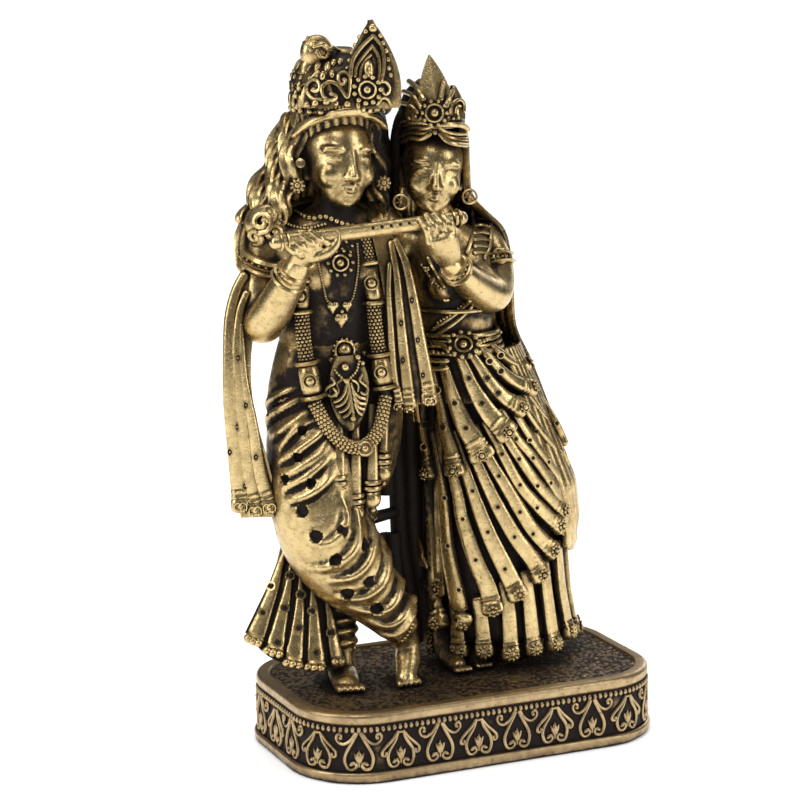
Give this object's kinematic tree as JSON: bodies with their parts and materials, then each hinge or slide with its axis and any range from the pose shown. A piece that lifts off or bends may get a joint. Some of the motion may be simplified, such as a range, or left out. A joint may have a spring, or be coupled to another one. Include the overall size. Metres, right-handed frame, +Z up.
{
  "type": "radha krishna statuette",
  "caption": "Two crowned figures in pleated dress, one playing a flute, cast as one group on a low plinth with rounded corners and a teardrop frieze.",
  "frame": {"origin": "centre of the plinth's underside", "axes": "+Z up, the figures face -Y, the taller flute player stands at -X and the shorter figure at +X"},
  "size_m": [0.1199, 0.0638, 0.1985],
  "materials": {
    "antique_gold": "bright antique gold on the raised forms, near-black patina in the folds",
    "darkened_gold": "antique gold on rim and frieze, dark patina on the hammered ground"
  },
  "bodies": {
    "root": {"radha_krishna_group": "antique_gold", "plinth": "darkened_gold"}
  },
  "joints": []
}
